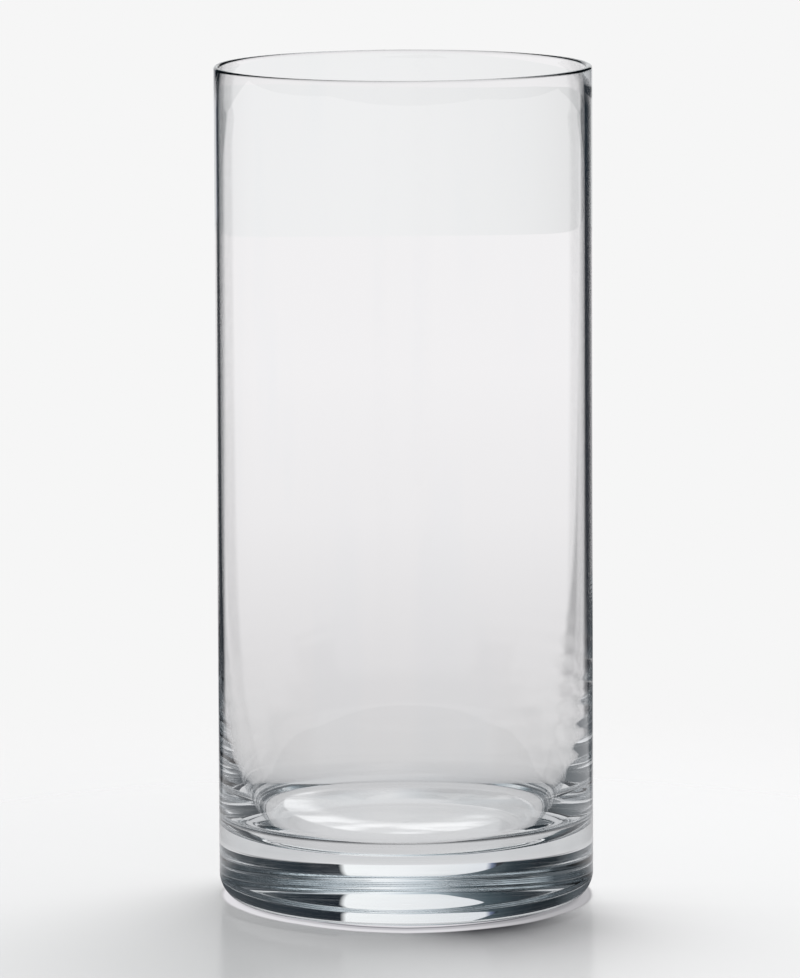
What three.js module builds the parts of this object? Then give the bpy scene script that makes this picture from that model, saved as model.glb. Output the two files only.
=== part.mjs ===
// Clear glass cylinder vase, in millimetres, +Z up, standing on Z = 0.
// The vase is one piece of glass: a straight wall, a fire-polished rim and a
// heavy solid base, with a rounded heel and a slightly dished underside.
// Its cross-section is drawn in the (radius, height) plane and revolved.
import * as THREE from 'three';

// Outside of the vase.
const HEIGHT = 254;
const OUTER_RADIUS = 57.15;
const HEEL_RADIUS = 6.8;

// Wall: thin at the rim, gathering more glass towards the base.
const RIM_THICKNESS = 1.8;
const FLOOR_THICKNESS = 19.7;
const GATHER_THICKNESS = 9.5;
const GATHER_LENGTH = 17;
const FLOOR_FILLET_RADIUS = 11.4;

// Underside: a flat ring to stand on, around a very shallow dish.
const DISH_RADIUS = 43;
const DISH_DEPTH = 0.4;

// Facets.
const RADIAL_SEGMENTS = 72;
const DISH_STEPS = 5;
const HEEL_STEPS = 6;
const RIM_STEPS = 8;
const WALL_STEPS = 18;
const FILLET_STEPS = 8;

const FOOT_RADIUS = OUTER_RADIUS - HEEL_RADIUS;

function arcPoints(centre, radius, startAngle, endAngle, steps) {
  const points = [];
  for (let i = 0; i <= steps; i += 1) {
    const angle = THREE.MathUtils.lerp(startAngle, endAngle, i / steps);
    const r = centre.x + radius * Math.cos(angle);
    const z = centre.y + radius * Math.sin(angle);
    points.push(new THREE.Vector2(r, z));
  }
  return points;
}

// The dish is highest on the axis and falls away as the square of the radius.
function dishPoints() {
  const points = [];
  for (let i = 0; i <= DISH_STEPS; i += 1) {
    const t = i / DISH_STEPS;
    points.push(new THREE.Vector2(DISH_RADIUS * t, DISH_DEPTH * (1 - t ** 2)));
  }
  return points;
}

function heelPoints() {
  const centre = new THREE.Vector2(FOOT_RADIUS, HEEL_RADIUS);
  return arcPoints(centre, HEEL_RADIUS, -Math.PI / 2, 0, HEEL_STEPS);
}

// The rim is a half round as wide as the wall.
function rimPoints() {
  const radius = RIM_THICKNESS / 2;
  const centre = new THREE.Vector2(OUTER_RADIUS - radius, HEIGHT - radius);
  return arcPoints(centre, radius, 0, Math.PI, RIM_STEPS);
}

// Inner radius at a height: the extra glass decays exponentially upwards.
function innerRadius(z) {
  const gather = Math.exp(-(z - FLOOR_THICKNESS) / GATHER_LENGTH);
  return OUTER_RADIUS - RIM_THICKNESS - GATHER_THICKNESS * gather;
}

// Slope of the inner wall at a height, as an angle away from vertical.
function innerWallTilt(z) {
  const step = 0.01;
  return Math.atan((innerRadius(z + step) - innerRadius(z)) / step);
}

// Height at which a fillet standing on the floor runs into the wall.
function filletTop() {
  let z = FLOOR_THICKNESS;
  for (let i = 0; i < 20; i += 1) {
    const tilt = innerWallTilt(z);
    z = FLOOR_THICKNESS + FLOOR_FILLET_RADIUS * (1 - Math.sin(tilt));
  }
  return z;
}

// The inside, from the rim down to the fillet. Steps are closer together
// near the floor, where the wall curves.
function innerWallPoints(bottom) {
  const top = HEIGHT - RIM_THICKNESS / 2;
  const points = [];
  for (let i = 1; i < WALL_STEPS; i += 1) {
    const t = i / WALL_STEPS;
    const z = bottom + (top - bottom) * (1 - t) ** 2.2;
    points.push(new THREE.Vector2(innerRadius(z), z));
  }
  return points;
}

function filletPoints(top) {
  const tilt = innerWallTilt(top);
  const radius = FLOOR_FILLET_RADIUS;
  const centreRadius = innerRadius(top) - radius * Math.cos(tilt);
  const centre = new THREE.Vector2(centreRadius, FLOOR_THICKNESS + radius);
  return arcPoints(centre, radius, -tilt, -Math.PI / 2, FILLET_STEPS);
}

function vaseProfile() {
  const top = filletTop();
  return [
    ...dishPoints(),
    ...heelPoints(),
    ...rimPoints(),
    ...innerWallPoints(top),
    ...filletPoints(top),
    new THREE.Vector2(0, FLOOR_THICKNESS),
  ];
}

function vaseGeometry() {
  const geometry = new THREE.LatheGeometry(vaseProfile(), RADIAL_SEGMENTS);
  geometry.rotateX(Math.PI / 2);
  return geometry;
}

const clearGlass = new THREE.MeshStandardMaterial({
  color: 0xdfe8ea,
  roughness: 0.03,
  metalness: 0,
  transparent: true,
  opacity: 0.35,
});

const vaseBody = new THREE.Mesh(vaseGeometry(), clearGlass);
vaseBody.name = 'vase_body';

const vase = new THREE.Group();
vase.name = 'glass_cylinder_vase';
vase.add(vaseBody);

export default vase;
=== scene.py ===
"""Clear glass cylinder vase with a thick solid base, on a pale floor, lit from behind.

The vase is one piece of glass, drawn as a cross-section in (radius, height) and
revolved, with the small unevenness of blown glass. Sizes follow the CAD node's box.
Metres, +Z up. The camera looks along +Y.
"""

import math

import bpy
import numpy as np
from mathutils import Matrix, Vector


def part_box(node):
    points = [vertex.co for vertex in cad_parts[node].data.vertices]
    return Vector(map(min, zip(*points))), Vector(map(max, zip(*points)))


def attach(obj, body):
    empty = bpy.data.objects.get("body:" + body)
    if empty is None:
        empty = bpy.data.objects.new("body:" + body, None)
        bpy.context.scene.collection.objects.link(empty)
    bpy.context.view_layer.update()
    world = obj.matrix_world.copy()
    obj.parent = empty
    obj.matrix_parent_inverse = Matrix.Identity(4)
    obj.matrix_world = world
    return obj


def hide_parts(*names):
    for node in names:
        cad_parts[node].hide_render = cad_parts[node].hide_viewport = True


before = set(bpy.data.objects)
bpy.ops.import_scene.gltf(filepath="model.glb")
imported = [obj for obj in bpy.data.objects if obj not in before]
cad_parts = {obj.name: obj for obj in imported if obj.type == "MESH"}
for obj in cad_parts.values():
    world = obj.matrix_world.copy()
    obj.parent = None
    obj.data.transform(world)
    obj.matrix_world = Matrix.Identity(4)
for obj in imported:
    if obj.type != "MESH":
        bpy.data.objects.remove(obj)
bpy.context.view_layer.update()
NODE_LOW, NODE_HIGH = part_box("vase_body")

# Outside of the vase, from the CAD node.
RADIUS = (NODE_HIGH.x - NODE_LOW.x) / 2
HEIGHT = NODE_HIGH.z - NODE_LOW.z

# The rest of the cross-section, as shares of the radius.
HEEL_SHOULDER = 0.145 * RADIUS
HEEL_CORNER_FRONT = 0.070 * RADIUS
HEEL_CORNER_BACK = 0.131 * RADIUS
HEEL_TURN = math.radians(43.5)
RIM_THICKNESS = 0.0315 * RADIUS
FLOOR_THICKNESS = 0.345 * RADIUS
GATHER_THICKNESS = 0.166 * RADIUS
GATHER_LENGTH = 0.30 * RADIUS
FILLET_RADIUS = 0.20 * RADIUS
RECESS_RADIUS = 0.80 * RADIUS
RECESS_DEPTH = 0.007 * RADIUS
HEEL_TOP = 0.15 * RADIUS

# Unevenness of the glass: the bore sits a little off centre, most of all low down, the
# inside of the lower wall has rings left by the mould, strongest on the +X side, and the
# underside wanders slightly.
BORE_SHIFT = 0.006 * RADIUS
BORE_SHIFT_LOW = 0.004 * RADIUS
RING_WAVE = 0.0018 * RADIUS
RING_SPACING = 0.12 * RADIUS
RING_LEAN = 2.0
RING_MIDDLE = 0.75
RING_SPREAD = 0.08
RING_FAR_SIDE = 0.2
UNDER_WAVE = 0.0006 * RADIUS

# Points in each stretch of the section, and round the vase.
UNDER_POINTS = 44
HEEL_POINTS = 20
WALL_POINTS = 20
RIM_POINTS = 17
INSIDE_POINTS = 120
FILLET_POINTS = 20
FLOOR_POINTS = 29
POINTS_AROUND = 256


def arc(centre, half_width, half_height, start, end, steps):
    """Points on an ellipse round centre, from start to end in radians."""
    angle = np.linspace(start, end, steps)
    r = centre[0] + half_width * np.cos(angle)
    z = centre[1] + half_height * np.sin(angle)
    return np.column_stack([r, z])


def inner_radius(z):
    """The bore's radius at height z: the wall gathers glass towards the base."""
    gather = np.exp(-(z - FLOOR_THICKNESS) / GATHER_LENGTH)
    return RADIUS - RIM_THICKNESS - GATHER_THICKNESS * gather


def inner_tilt(z):
    """How far the bore leans outwards at height z, in radians from upright."""
    step = 1e-6
    return math.atan((inner_radius(z + step) - inner_radius(z)) / step)


def fillet_top():
    """The height where the fillet meets the leaning bore, found by repeated correction."""
    z = FLOOR_THICKNESS
    for _ in range(30):
        z = FLOOR_THICKNESS + FILLET_RADIUS * (1 - math.sin(inner_tilt(z)))
    return z


def cross_section():
    """The section as stretches of (radius, height) points.

    They run from the axis underneath, round the outside and over the rim, to the axis
    inside. The heel changes with the turn, so heel_surface makes it.
    """
    half_rim = RIM_THICKNESS / 2
    top = fillet_top()
    tilt = inner_tilt(top)
    fillet_centre = (
        inner_radius(top) - FILLET_RADIUS * math.cos(tilt),
        FLOOR_THICKNESS + FILLET_RADIUS,
    )
    out = np.linspace(0, 1, UNDER_POINTS)
    under = np.column_stack([RECESS_RADIUS * out, RECESS_DEPTH * (1 - out**2)])
    wall_z = np.linspace(HEEL_TOP, HEIGHT - half_rim, WALL_POINTS + 1)[:-1]
    wall = np.column_stack([np.full(WALL_POINTS, RADIUS), wall_z])
    rim_centre = (RADIUS - half_rim, HEIGHT - half_rim)
    rim = arc(rim_centre, half_rim, half_rim, 0, math.pi, RIM_POINTS)
    fall = np.linspace(0, 1, INSIDE_POINTS + 2)[1:-1]
    inside_z = top + (HEIGHT - half_rim - top) * (1 - fall) ** 2
    inside = np.column_stack([inner_radius(inside_z), inside_z])
    fillet = arc(
        fillet_centre, FILLET_RADIUS, FILLET_RADIUS, -tilt, -math.pi / 2, FILLET_POINTS
    )
    floor_r = np.linspace(fillet[-1, 0], 0, FLOOR_POINTS + 1)[1:]
    floor = np.column_stack([floor_r, np.full(FLOOR_POINTS, FLOOR_THICKNESS)])
    return {
        "under": under,
        "heel": None,
        "wall": wall,
        "rim": rim,
        "inside": inside,
        "fillet": fillet,
        "floor": floor,
    }


def heel_surface(angle):
    """The heel's (radius, height) rings: a tight corner, then a wide shoulder up to the wall.

    The corner is rounder at the back (+Y) than at the front.
    """
    behind = (1 + np.sin(angle)) / 2
    corner = HEEL_CORNER_FRONT + (HEEL_CORNER_BACK - HEEL_CORNER_FRONT) * behind
    shoulder_r = RADIUS - HEEL_SHOULDER
    shoulder_z = corner * (1 - math.sin(HEEL_TURN)) + HEEL_SHOULDER * math.sin(HEEL_TURN)
    corner_r = shoulder_r + (HEEL_SHOULDER - corner) * math.cos(HEEL_TURN)
    slope = np.linspace(math.pi / 2, HEEL_TURN, HEEL_POINTS)[:, None]
    lower_r = corner_r + corner * np.cos(slope)
    lower_z = corner * (1 - np.sin(slope))
    slope = np.linspace(HEEL_TURN, 0, HEEL_POINTS + 1)[1:, None]
    upper_r = shoulder_r + HEEL_SHOULDER * np.cos(slope) + np.zeros_like(corner)
    upper_z = shoulder_z - HEEL_SHOULDER * np.sin(slope)
    return np.vstack([lower_r, upper_r]), np.vstack([lower_z, upper_z])


def wander(r, angle):
    """A smooth, repeatable unevenness over a disc."""
    x, y = r * np.cos(angle) / RADIUS, r * np.sin(angle) / RADIUS
    wide = np.sin(5.1 * x + 2.0 * y + 0.7) * np.cos(4.3 * y - 1.9 * x)
    fine = 0.5 * np.sin(11.0 * x - 6.0 * y + 1.9) * np.cos(9.0 * y + 3.0 * x)
    return wide + fine


def bend_section(name, r, z, angle):
    """Applies the unevenness to one stretch of the revolved section."""
    if name == "under":
        edge = np.clip(1 - r / RECESS_RADIUS, 0, 1)
        z = z + UNDER_WAVE * edge * (1 + wander(r, angle))
    if name == "inside":
        above = (z - FLOOR_THICKNESS) / RADIUS
        fade = np.exp(-((above - RING_MIDDLE) ** 2) / RING_SPREAD)
        near_side = np.clip(np.cos(angle), 0, 1) ** 3
        far_side = np.clip(-np.cos(angle), 0, 1) ** 3
        side = near_side + RING_FAR_SIDE * far_side
        rings = np.sin(2 * math.pi * z / RING_SPACING + RING_LEAN * np.sin(angle))
        r = r + RING_WAVE * fade * side * rings
    return r, z


def bore_shift(name, r, z):
    """How far the bore's centre lies towards -X at height z."""
    if name == "rim":
        return BORE_SHIFT * (RADIUS - r) / RIM_THICKNESS
    if name not in ("inside", "fillet", "floor"):
        return np.zeros_like(z)
    return BORE_SHIFT + BORE_SHIFT_LOW * np.exp(-(z - FLOOR_THICKNESS) / RADIUS)


def revolve(name, stretches):
    """A closed mesh of revolution. The first and last points are on the axis."""
    angle = np.linspace(0, 2 * math.pi, POINTS_AROUND, endpoint=False)
    rings = []
    for part, outline in stretches.items():
        if part == "heel":
            r, z = heel_surface(angle)
        else:
            start = 1 if part == "under" else 0
            end = len(outline) - 1 if part == "floor" else len(outline)
            r = np.repeat(outline[start:end, None, 0], POINTS_AROUND, axis=1)
            z = np.repeat(outline[start:end, None, 1], POINTS_AROUND, axis=1)
            r, z = bend_section(part, r, z, angle)
        x = r * np.cos(angle) - bore_shift(part, r, z)
        rings.append(np.stack([x, r * np.sin(angle), z], axis=2))
    body = np.vstack(rings)
    count = len(body)
    pole_under = [0, 0, stretches["under"][0, 1]]
    pole_inside = [-BORE_SHIFT - BORE_SHIFT_LOW, 0, FLOOR_THICKNESS]
    verts = np.vstack([body.reshape(-1, 3), [pole_under, pole_inside]])
    n = POINTS_AROUND
    low, high = count * n, count * n + 1
    last = (count - 1) * n
    faces = []
    for j in range(n):
        k = (j + 1) % n
        faces.append((low, k, j))
        for i in range(0, last, n):
            faces.append((i + j, i + k, i + n + k, i + n + j))
        faces.append((high, last + j, last + k))
    mesh = bpy.data.meshes.new(name)
    mesh.from_pydata(verts.tolist(), [], faces)
    mesh.update()
    mesh.shade_smooth()
    obj = bpy.data.objects.new(name, mesh)
    bpy.context.collection.objects.link(obj)
    return obj


# Faint cords left in the glass: long soft streaks where the melt is a hair less clear
# and the polish a hair less sharp.
CORD_TINT = (0.984, 0.990, 0.994)
CORD_ROUGHNESS = 0.008
CORD_SPACING = 0.35 * RADIUS
CORD_STRETCH = 6.0
CORD_START = 0.52
CORD_FULL = 0.72

# The glass itself: faintly blue where it is thick.
GLASS_IOR = 1.5
GLASS_COLOUR = (0.80, 0.93, 1.0)
GLASS_DENSITY = 1.6


def glass_material():
    mat = bpy.data.materials.new("clear_glass")
    mat.use_nodes = True
    nodes, links = mat.node_tree.nodes, mat.node_tree.links
    bsdf = nodes["Principled BSDF"]
    position = nodes.new("ShaderNodeTexCoord").outputs["Object"]
    cords = nodes.new("ShaderNodeMapping")
    cords.inputs["Scale"].default_value = (
        1 / CORD_SPACING,
        1 / CORD_SPACING,
        1 / (CORD_SPACING * CORD_STRETCH),
    )
    links.new(position, cords.inputs["Vector"])
    noise = nodes.new("ShaderNodeTexNoise")
    noise.inputs["Scale"].default_value = 1.0
    noise.inputs["Detail"].default_value = 3.0
    links.new(cords.outputs["Vector"], noise.inputs["Vector"])
    cord = smooth_step(mat.node_tree, noise.outputs["Fac"], CORD_START, CORD_FULL)
    tint = mix_colours(mat.node_tree, cord, (1, 1, 1), CORD_TINT)
    links.new(tint, bsdf.inputs["Base Color"])
    rough = math_node(mat.node_tree, "MULTIPLY", cord, CORD_ROUGHNESS)
    links.new(rough, bsdf.inputs["Roughness"])
    bsdf.inputs["IOR"].default_value = GLASS_IOR
    bsdf.inputs["Transmission Weight"].default_value = 1.0
    volume = nodes.new("ShaderNodeVolumeAbsorption")
    volume.inputs["Color"].default_value = (*GLASS_COLOUR, 1)
    volume.inputs["Density"].default_value = GLASS_DENSITY
    links.new(volume.outputs[0], nodes["Material Output"].inputs["Volume"])
    return mat


def math_node(tree, operation, *values):
    """A maths node on numbers and sockets. Returns its output."""
    node = tree.nodes.new("ShaderNodeMath")
    node.operation = operation
    for socket, value in zip(node.inputs, values):
        if isinstance(value, (int, float)):
            socket.default_value = value
        else:
            tree.links.new(value, socket)
    return node.outputs[0]


def smooth_step(tree, value, start, end, low=0.0, high=1.0):
    """Goes smoothly from low to high as value goes from start to end."""
    node = tree.nodes.new("ShaderNodeMapRange")
    node.interpolation_type = "SMOOTHSTEP"
    tree.links.new(value, node.inputs["Value"])
    numbers = {"From Min": start, "From Max": end, "To Min": low, "To Max": high}
    for key, number in numbers.items():
        node.inputs[key].default_value = number
    return node.outputs[0]


def ramp_node(tree, value, stops):
    """Colours along a 0 to 1 value. stops is a list of (place, colour)."""
    node = tree.nodes.new("ShaderNodeValToRGB")
    tree.links.new(value, node.inputs[0])
    elements = node.color_ramp.elements
    while len(elements) > 1:
        elements.remove(elements[-1])
    elements[0].position = stops[0][0]
    elements[0].color = (*stops[0][1], 1)
    for place, colour in stops[1:]:
        elements.new(place).color = (*colour, 1)
    return node.outputs[0]


def grey_ramp(tree, value, stops):
    """A ramp that goes once round, so its last stop runs back into its first."""
    stops = [*stops, (1.0, stops[0][1])]
    return ramp_node(tree, value, [(place, (level,) * 3) for place, level in stops])


def mix_colours(tree, factor, a, b):
    """A colour that goes from a to b with factor."""
    node = tree.nodes.new("ShaderNodeMix")
    node.data_type = "RGBA"
    for key, value in (("Factor_Float", factor), ("A_Color", a), ("B_Color", b)):
        socket = next(s for s in node.inputs if s.identifier == key)
        if isinstance(value, tuple):
            socket.default_value = (*value, 1)
        elif isinstance(value, (int, float)):
            socket.default_value = value
        else:
            tree.links.new(value, socket)
    return next(s for s in node.outputs if s.identifier == "Result_Color")


def polar_nodes(tree, vector):
    """Splits a vector: x, y, z and the turn round Z, 0 to 1 from -Y by -X, +Y and +X."""
    split = tree.nodes.new("ShaderNodeSeparateXYZ")
    tree.links.new(vector, split.inputs[0])
    x, y, z = split.outputs
    turn = math_node(tree, "ARCTAN2", x, y)
    return x, y, z, math_node(tree, "MULTIPLY_ADD", turn, 1 / (2 * math.pi), 0.5)


def ring_stops(levels):
    """Ramp stops from (degrees round from +Y, colour)."""
    return [(degrees / 360 + 0.5, colour) for degrees, colour in levels]


# What the camera sees round the vase: an even pale backdrop.
PALE = 0.9216

# The studio as the glass sees it, in degrees round from +Y, +X positive: a white
# backdrop between two dark screens, and a dim room at the sides and behind the camera.
WARM_EDGE = (1.0, 0.66, 0.40)
COOL_EDGE = (0.10, 0.16, 0.28)
SCREEN = (0.009, 0.013, 0.019)
ROOM = (0.13, 0.14, 0.15)
STUDIO = [
    (-180, ROOM),
    (-100, ROOM),
    (-60, (0.055, 0.065, 0.075)),
    (-44, (0.022, 0.030, 0.036)),
    (-34, SCREEN),
    (-18.7, SCREEN),
    (-18.3, COOL_EDGE),
    (-18.0, WARM_EDGE),
    (-17.5, (0.78, 0.79, 0.82)),
    (-8, (0.84, 0.85, 0.86)),
    (0, (0.91, 0.915, 0.92)),
    (12.7, (0.96, 0.97, 0.97)),
    (13.1, WARM_EDGE),
    (13.4, COOL_EDGE),
    (13.8, SCREEN),
    (30, (0.020, 0.028, 0.036)),
    (40, (0.030, 0.038, 0.044)),
    (70, (0.055, 0.065, 0.075)),
    (100, ROOM),
    (180, ROOM),
]

# The ceiling as the glass sees it, by how far sideways the ray points, -X to +X: a
# bright band above the backdrop, and dark to both sides of it.
CEILING = [
    (-1.00, (0.13, 0.14, 0.15)),
    (-0.80, (0.080, 0.095, 0.105)),
    (-0.65, (0.010, 0.016, 0.020)),
    (-0.54, (0.008, 0.013, 0.018)),
    (-0.42, (0.022, 0.032, 0.040)),
    (-0.31, (0.060, 0.082, 0.095)),
    (-0.22, (0.130, 0.160, 0.180)),
    (-0.10, (0.32, 0.39, 0.43)),
    (0.03, (0.70, 0.75, 0.79)),
    (0.12, (0.95, 0.97, 0.98)),
    (0.24, (0.92, 0.94, 0.95)),
    (0.38, (0.69, 0.73, 0.76)),
    (0.47, (0.50, 0.55, 0.59)),
    (0.57, (0.100, 0.125, 0.140)),
    (0.66, (0.035, 0.048, 0.055)),
    (0.80, (0.050, 0.060, 0.068)),
    (1.00, (0.13, 0.14, 0.15)),
]

# How much darker the backdrop gets towards its foot.
BACKDROP_FOOT = [
    (-180, (0, 0, 0)),
    (-20, (0.40, 0.40, 0.40)),
    (-9, (0.20, 0.20, 0.20)),
    (-3, (0.04, 0.04, 0.04)),
    (0, (0.05, 0.05, 0.05)),
    (3, (0.12, 0.12, 0.12)),
    (7, (0.24, 0.24, 0.24)),
    (13, (0.30, 0.30, 0.30)),
    (180, (0, 0, 0)),
]
FOOT_FULL = math.radians(-2.5)
FOOT_END = math.radians(0.5)

# Heights above level where the ceiling begins, and where a light straight above does.
CEILING_START = math.radians(29)
CEILING_FULL = math.radians(38)
TOP_START = math.radians(72)
TOP_FULL = math.radians(76)
TOP_LIGHT = (0.85, 0.86, 0.88)

# The backdrop's top edge slopes down towards -X, so ahead the ceiling also starts above a
# slanted line: TOP_EDGE_HEIGHT at TOP_EDGE_TURN degrees round, TOP_EDGE_SLOPE per degree.
TOP_EDGE_SLOPE = math.radians(2.3)
TOP_EDGE_HEIGHT = math.radians(10)
TOP_EDGE_TURN = -17.5
TOP_EDGE_BLUR = math.radians(1.0)

# How far ahead (+Y) a ray points where the backdrop's own layout takes over.
AHEAD_FULL = 0.15
AHEAD_EDGE = 0.05


def studio_world():
    world = bpy.data.worlds.new("studio")
    bpy.context.scene.world = world
    world.use_nodes = True
    tree = world.node_tree
    tree.nodes.clear()
    coord = tree.nodes.new("ShaderNodeTexCoord")
    x, y, z, turn = polar_nodes(tree, coord.outputs["Generated"])
    sideways = math_node(tree, "ARCSINE", x)
    sideways = math_node(tree, "MULTIPLY_ADD", sideways, 1 / (2 * math.pi), 0.5)
    forward = smooth_step(tree, y, 0.0, AHEAD_FULL)
    aim = math_node(tree, "SUBTRACT", sideways, turn)
    aim = math_node(tree, "MULTIPLY_ADD", aim, forward, turn)
    around = ramp_node(tree, aim, ring_stops(STUDIO))
    rise = math_node(tree, "ARCSINE", z)
    across = math_node(tree, "MULTIPLY_ADD", x, 0.5, 0.5)
    ceiling = ramp_node(tree, across, [((dx + 1) / 2, colour) for dx, colour in CEILING])
    overhead = smooth_step(tree, rise, CEILING_START, CEILING_FULL)
    slant = math_node(tree, "MULTIPLY_ADD", turn, -360 * TOP_EDGE_SLOPE, rise)
    edge = TOP_EDGE_HEIGHT - (180 + TOP_EDGE_TURN) * TOP_EDGE_SLOPE
    beyond = smooth_step(tree, slant, edge, edge + TOP_EDGE_BLUR)
    ahead = smooth_step(tree, y, 0.0, AHEAD_EDGE)
    beyond = math_node(tree, "MULTIPLY", beyond, ahead)
    overhead = math_node(tree, "MAXIMUM", overhead, beyond)
    top = smooth_step(tree, rise, TOP_START, TOP_FULL)
    ceiling = mix_colours(tree, top, ceiling, TOP_LIGHT)
    low = smooth_step(tree, rise, FOOT_FULL, FOOT_END, 1.0, 0.0)
    low_tone = ramp_node(tree, turn, ring_stops(BACKDROP_FOOT))
    dimmed = math_node(tree, "MULTIPLY", low, low_tone)
    around = mix_colours(tree, dimmed, around, SCREEN)
    room = mix_colours(tree, overhead, around, ceiling)
    path = tree.nodes.new("ShaderNodeLightPath")
    seen = mix_colours(tree, path.outputs["Is Camera Ray"], room, (PALE, PALE, PALE))
    background = tree.nodes.new("ShaderNodeBackground")
    tree.links.new(seen, background.inputs["Color"])
    out = tree.nodes.new("ShaderNodeOutputWorld")
    tree.links.new(background.outputs[0], out.inputs["Surface"])


# The floor runs to the backdrop behind and far out to the sides and the front. It lies
# just under the vase's foot, so that the two surfaces don't coincide.
FLOOR_BACK = 33.25 * RADIUS
FLOOR_SIDES = 105 * RADIUS
FLOOR_DROP = 0.00035 * RADIUS

# The floor as the glass sees it glows with painted light, by distance from the vase's axis in
# radii:
# painted shade close to the vase, lighter further out. It is even past FLOOR_EVEN radii.
FLOOR_EVEN = 22.75
FLOOR_LEVELS = [
    (0.00, (0.60, 0.60, 0.61)),
    (0.875, (0.60, 0.60, 0.61)),
    (1.015, (0.56, 0.56, 0.57)),
    (1.312, (0.62, 0.62, 0.63)),
    (2.187, (0.67, 0.665, 0.67)),
    (7.00, (0.74, 0.73, 0.74)),
    (14.0, (0.84, 0.83, 0.84)),
    (FLOOR_EVEN, (0.885, 0.875, 0.885)),
]

# Painted shade at the screens' feet: how much it darkens the floor, in degrees round from +Y. It
# begins SCREEN_ASIDE to each side of the axis and is full at twice that.
SCREEN_ASIDE = 1.26 * RADIUS
SCREEN_FOOT = [
    (-180, (0, 0, 0)),
    (-41, (0, 0, 0)),
    (-35, (0.98, 0.98, 0.98)),
    (-18.6, (0.98, 0.98, 0.98)),
    (-17.6, (0.18, 0.18, 0.18)),
    (-9, (0.10, 0.10, 0.10)),
    (-4, (0, 0, 0)),
    (12.8, (0, 0, 0)),
    (13.8, (0.98, 0.98, 0.98)),
    (35, (0.98, 0.98, 0.98)),
    (41, (0, 0, 0)),
    (180, (0, 0, 0)),
]

# Close to the vase, painted shade darkens the floor in front of it and beside it, as the glass's
# own
# reflections see it: below FRONT_END it is full, and it fades out by distance, later on
# the flanks than elsewhere. The floor under the base stays light.
FRONT_SHADE = 0.08
FRONT_START = 0.787 * RADIUS
FRONT_END = 0.0875 * RADIUS
NEAR_START = 1.75 * RADIUS
NEAR_END = 2.975 * RADIUS
FLANK_START = 3.5 * RADIUS
FLANK_END = 5.25 * RADIUS
UNDER_START = 0.884 * RADIUS
UNDER_END = 0.980 * RADIUS
FLANK_SHADE = [
    (-180, (0, 0, 0)),
    (-132, (0, 0, 0)),
    (-122, (1, 1, 1)),
    (-100, (1, 1, 1)),
    (-92, (0, 0, 0)),
    (92, (0, 0, 0)),
    (100, (1, 1, 1)),
    (122, (1, 1, 1)),
    (132, (0, 0, 0)),
    (180, (0, 0, 0)),
]

# How much of the painted shade at the screens' feet is left where the floor is seen straight
# through the glass.
DIRECT_FOOT = 0.6

# On the floor itself: the painted ring of light the heel gathers, and the painted contact shadow
# outside it, deepest towards the front and +X. Both go round from -Y by -X, as a share
# of the turn. RING_REACH is the ring's outer edge in radii.
RING_SCALE = 1.2
RING_REACH = [
    (0.00, 1.118),
    (0.04, 1.090),
    (0.09, 1.036),
    (0.17, 0.996),
    (0.25, 0.992),
    (0.75, 0.992),
    (0.80, 1.011),
    (0.855, 1.027),
    (0.90, 1.067),
    (0.93, 1.083),
    (0.97, 1.109),
]

# The painted ring's brightness from the axis out, as a share of its outer edge, with a thin
# dark line of painted shade in it. It dims towards +X.
RING_DIM_START = 0.1 * RADIUS
RING_DIM_END = 0.8 * RADIUS
RING_DIM = 0.42
RING_COVER = 0.93
RING_EDGE_START = 0.985
RING_EDGE_END = 1.008
RING_LEVELS = [
    (0.00, (0.76, 0.75, 0.78)),
    (0.855, (0.76, 0.75, 0.78)),
    (0.868, (0.22, 0.22, 0.24)),
    (0.878, (0.22, 0.22, 0.24)),
    (0.892, (0.52, 0.51, 0.54)),
    (0.920, (0.55, 0.54, 0.57)),
    (0.945, (0.76, 0.75, 0.78)),
    (0.980, (0.78, 0.77, 0.80)),
    (1.00, (0.50, 0.49, 0.51)),
]
CONTACT_REACH = 0.52 * RADIUS
CONTACT_DEPTH = [
    (0.00, 0.46),
    (0.06, 0.36),
    (0.12, 0.25),
    (0.20, 0.16),
    (0.25, 0.10),
    (0.33, 0.0),
    (0.72, 0.0),
    (0.78, 0.10),
    (0.83, 0.35),
    (0.88, 0.80),
    (0.92, 1.0),
    (0.95, 0.98),
    (0.985, 0.60),
]
CONTACT_TONE = (0.04, 0.04, 0.045)

# The floor's satin surface. It lets the pale backdrop through: FLOOR_LIFT of it near
# the vase, and all of it from LIFT_FULL on.
FLOOR_TONE = (0.90, 0.885, 0.885)
FLOOR_ROUGHNESS = 0.19
FLOOR_SHINE = 0.34
FLOOR_LIFT = 0.42
LIFT_START = 2.1 * RADIUS
LIFT_FULL = 6.3 * RADIUS

# Painted light gathered under the base: a bright curved band, streaked, strongest on -X.
CAUSTIC_CENTRE = (0.0, 0.52 * RADIUS)
CAUSTIC_START = 0.48 * RADIUS
CAUSTIC_FULL = 0.62 * RADIUS
CAUSTIC_FADE = 0.73 * RADIUS
CAUSTIC_END = 0.76 * RADIUS
CAUSTIC_SIDE_START = 0.30 * RADIUS
CAUSTIC_SIDE_END = 0.60 * RADIUS
CAUSTIC_LIGHT = (1.05, 1.05, 1.06)

# Its streaks run along X: how many pattern units a radius is along and across them, and
# the noise levels where a streak starts and is full.
STREAK_SCALE = (1.2 / RADIUS, 5.0 / RADIUS, 0)
STREAK_FINENESS = 1.6
STREAK_START = 0.36
STREAK_FULL = 0.60
STREAK_GAP = 0.15


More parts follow.
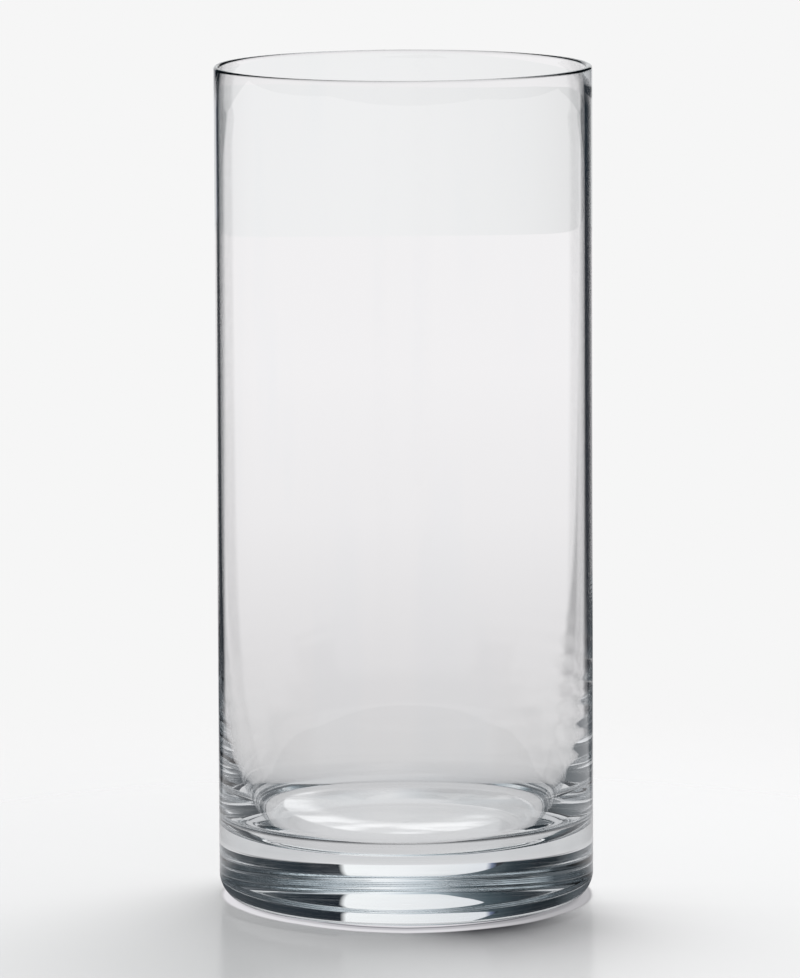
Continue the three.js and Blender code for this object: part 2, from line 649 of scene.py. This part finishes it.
def add_caustic(tree, position, x, under, glow):
    """Adds the painted band of gathered light to what the glass sees of the floor."""
    span = tree.nodes.new("ShaderNodeVectorMath")
    span.operation = "DISTANCE"
    tree.links.new(position, span.inputs[0])
    span.inputs[1].default_value = (*CAUSTIC_CENTRE, 0)
    reach = span.outputs["Value"]
    inner = smooth_step(tree, reach, CAUSTIC_START, CAUSTIC_FULL)
    outer = smooth_step(tree, reach, CAUSTIC_FADE, CAUSTIC_END, 1.0, 0.0)
    band = math_node(tree, "MULTIPLY", inner, outer)
    side = smooth_step(tree, x, CAUSTIC_SIDE_START, CAUSTIC_SIDE_END, 1.0, 0.0)
    band = math_node(tree, "MULTIPLY", band, side)
    band = math_node(tree, "MULTIPLY", band, under)
    stretch = tree.nodes.new("ShaderNodeVectorMath")
    stretch.operation = "MULTIPLY"
    tree.links.new(position, stretch.inputs[0])
    stretch.inputs[1].default_value = STREAK_SCALE
    noise = tree.nodes.new("ShaderNodeTexNoise")
    noise.inputs["Scale"].default_value = STREAK_FINENESS
    noise.inputs["Detail"].default_value = 3.0
    tree.links.new(stretch.outputs[0], noise.inputs["Vector"])
    streaks = smooth_step(tree, noise.outputs["Fac"], STREAK_START, STREAK_FULL, STREAK_GAP, 1.0)
    band = math_node(tree, "MULTIPLY", band, streaks)
    return mix_colours(tree, band, glow, CAUSTIC_LIGHT)


def floor_material():
    mat = bpy.data.materials.new("floor_satin")
    mat.use_nodes = True
    tree = mat.node_tree
    geometry = tree.nodes.new("ShaderNodeNewGeometry")
    x, y, _, turn = polar_nodes(tree, geometry.outputs["Position"])
    length = tree.nodes.new("ShaderNodeVectorMath")
    length.operation = "LENGTH"
    tree.links.new(geometry.outputs["Position"], length.inputs[0])
    distance = length.outputs["Value"]

    # What the glass sees of the floor is painted light: a glowing level by distance, with
    # painted shade at the screens' feet.
    share = math_node(tree, "MULTIPLY", distance, 1 / (FLOOR_EVEN * RADIUS))
    level = ramp_node(tree, share, [(d / FLOOR_EVEN, c) for d, c in FLOOR_LEVELS])
    foot = ramp_node(tree, turn, ring_stops(SCREEN_FOOT))
    aside = math_node(tree, "ABSOLUTE", x)
    aside = smooth_step(tree, aside, SCREEN_ASIDE, 2 * SCREEN_ASIDE)
    shade = math_node(tree, "MULTIPLY", foot, aside)

    # Rays reflected on the way, and so not seen straight through, get the full darkening.
    path = tree.nodes.new("ShaderNodeLightPath")
    bounced = math_node(tree, "MINIMUM", path.outputs["Glossy Depth"], 1.0)
    direct = math_node(tree, "SUBTRACT", 1.0, bounced)
    seen_foot = math_node(tree, "MULTIPLY_ADD", direct, DIRECT_FOOT - 1.0, 1.0)
    shade = math_node(tree, "MULTIPLY", shade, seen_foot)
    glow = mix_colours(tree, shade, level, SCREEN)
    front = smooth_step(tree, y, FRONT_START, FRONT_END, 1.0, FRONT_SHADE)
    near = smooth_step(tree, distance, NEAR_START, NEAR_END)
    flank = ramp_node(tree, turn, ring_stops(FLANK_SHADE))
    beyond = smooth_step(tree, distance, FLANK_START, FLANK_END)
    near = math_node(tree, "MAXIMUM", beyond, math_node(tree, "SUBTRACT", near, flank))
    front = math_node(tree, "MAXIMUM", front, near)
    under = smooth_step(tree, distance, UNDER_START, UNDER_END, 1.0, 0.0)
    front = math_node(tree, "MAXIMUM", front, under)
    front = math_node(tree, "MAXIMUM", front, direct)
    glow = mix_colours(tree, front, SCREEN, glow)
    glow = add_caustic(tree, geometry.outputs["Position"], x, under, glow)
    # The glass sees the floor as this painted glow, not as a lit surface.
    emission = tree.nodes.new("ShaderNodeEmission")
    tree.links.new(glow, emission.inputs["Color"])

    # What the camera sees: satin floor, the painted contact shadow and the painted ring of
    # light.
    reach = grey_ramp(tree, turn, [(place, radii / RING_SCALE) for place, radii in RING_REACH])
    reach = math_node(tree, "MULTIPLY", reach, RING_SCALE * RADIUS)
    contact = math_node(tree, "SUBTRACT", reach, distance)
    contact = math_node(tree, "MULTIPLY", contact, 1 / CONTACT_REACH)
    contact = math_node(tree, "EXPONENT", contact)
    contact = math_node(tree, "MULTIPLY", contact, grey_ramp(tree, turn, CONTACT_DEPTH))

    satin = tree.nodes["Principled BSDF"]
    satin.inputs["Base Color"].default_value = (*FLOOR_TONE, 1)
    satin.inputs["Roughness"].default_value = FLOOR_ROUGHNESS
    satin.inputs["Specular IOR Level"].default_value = FLOOR_SHINE
    clear = tree.nodes.new("ShaderNodeBsdfTransparent")
    fade = tree.nodes.new("ShaderNodeMixShader")
    open_floor = smooth_step(tree, distance, LIFT_START, LIFT_FULL, FLOOR_LIFT, 1.0)
    tree.links.new(open_floor, fade.inputs[0])
    tree.links.new(satin.outputs[0], fade.inputs[1])
    tree.links.new(clear.outputs[0], fade.inputs[2])

    # Painted contact shadow: a dark glow mixed over the floor.
    dark = tree.nodes.new("ShaderNodeEmission")
    dark.inputs["Color"].default_value = (*CONTACT_TONE, 1)
    grounded = tree.nodes.new("ShaderNodeMixShader")
    tree.links.new(contact, grounded.inputs[0])
    tree.links.new(fade.outputs[0], grounded.inputs[1])
    tree.links.new(dark.outputs[0], grounded.inputs[2])

    ring_share = math_node(tree, "DIVIDE", distance, reach)
    ring_level = ramp_node(tree, ring_share, RING_LEVELS)
    ring_dim = smooth_step(tree, x, RING_DIM_START, RING_DIM_END, 0.0, RING_DIM)
    ring_level = mix_colours(tree, ring_dim, ring_level, (0.0, 0.0, 0.0))
    # Painted ring of light: a glow mixed over the floor.
    ring_glow = tree.nodes.new("ShaderNodeEmission")
    tree.links.new(ring_level, ring_glow.inputs["Color"])
    ring = tree.nodes.new("ShaderNodeMixShader")
    edge = smooth_step(tree, ring_share, RING_EDGE_START, RING_EDGE_END, RING_COVER, 0.0)
    tree.links.new(edge, ring.inputs[0])
    tree.links.new(grounded.outputs[0], ring.inputs[1])
    tree.links.new(ring_glow.outputs[0], ring.inputs[2])

    seen = tree.nodes.new("ShaderNodeMixShader")
    tree.links.new(path.outputs["Is Camera Ray"], seen.inputs[0])
    tree.links.new(emission.outputs[0], seen.inputs[1])
    tree.links.new(ring.outputs[0], seen.inputs[2])
    tree.links.new(seen.outputs[0], tree.nodes["Material Output"].inputs["Surface"])
    return mat


def add_floor():
    mesh = bpy.data.meshes.new("floor")
    side, back = FLOOR_SIDES, FLOOR_BACK
    corners = [(-side, -side, 0), (side, -side, 0), (side, back, 0), (-side, back, 0)]
    mesh.from_pydata(corners, [], [(0, 1, 2, 3)])
    floor = bpy.data.objects.new("floor", mesh)
    bpy.context.collection.objects.link(floor)
    floor.location.z = -FLOOR_DROP
    mesh.materials.append(floor_material())


# A soft disk light, turned from +Y towards +X and raised above level.
KEY_SIZE = 15.75 * RADIUS
KEY_ENERGY = 21
KEY_TURN = math.radians(22)
KEY_RISE = math.radians(60)
KEY_DISTANCE = 28 * RADIUS


def add_key_light():
    """A soft light from the right and behind, for the floor only."""
    data = bpy.data.lights.new("key", "AREA")
    data.shape = "DISK"
    data.size = KEY_SIZE
    data.energy = KEY_ENERGY
    light = bpy.data.objects.new("key", data)
    bpy.context.collection.objects.link(light)
    place = Matrix.Rotation(-KEY_TURN, 4, "Z") @ Matrix.Rotation(KEY_RISE - math.pi / 2, 4, "X")
    light.matrix_world = place @ Matrix.Translation((0, 0, KEY_DISTANCE))
    light.visible_camera = False
    light.visible_glossy = False
    light.visible_transmission = False


# The camera stands in front and looks slightly down along +Y.
CAMERA_DISTANCE = 9.21 * HEIGHT
CAMERA_RISE = 1.776 * HEIGHT
CAMERA_DOWN = math.radians(7.94)
CAMERA_YAW = math.radians(0.035)
CAMERA_ROLL = math.radians(-0.26)
CAMERA_LENS = 286
CAMERA_SENSOR = 36


def add_camera():
    data = bpy.data.cameras.new("camera")
    camera = bpy.data.objects.new("camera", data)
    bpy.context.collection.objects.link(camera)
    data.lens = CAMERA_LENS
    data.sensor_width = CAMERA_SENSOR
    data.clip_end = 200 * HEIGHT
    camera.matrix_world = (
        Matrix.Translation((0, -CAMERA_DISTANCE, CAMERA_RISE))
        @ Matrix.Rotation(CAMERA_YAW, 4, "Z")
        @ Matrix.Rotation(math.pi / 2 - CAMERA_DOWN, 4, "X")
        @ Matrix.Rotation(CAMERA_ROLL, 4, "Z")
    )
    bpy.context.scene.camera = camera


def add_vase():
    vase = revolve("vase_glass", cross_section())
    vase.data.materials.append(glass_material())
    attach(vase, "root")
    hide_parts("vase_body")


add_vase()
add_floor()
add_key_light()
studio_world()
add_camera()

# Light bounces many times inside the thick base.
BOUNCES = 64

scene = bpy.context.scene
scene.view_settings.view_transform = "Standard"
scene.cycles.max_bounces = BOUNCES
scene.cycles.transmission_bounces = BOUNCES
scene.cycles.glossy_bounces = BOUNCES
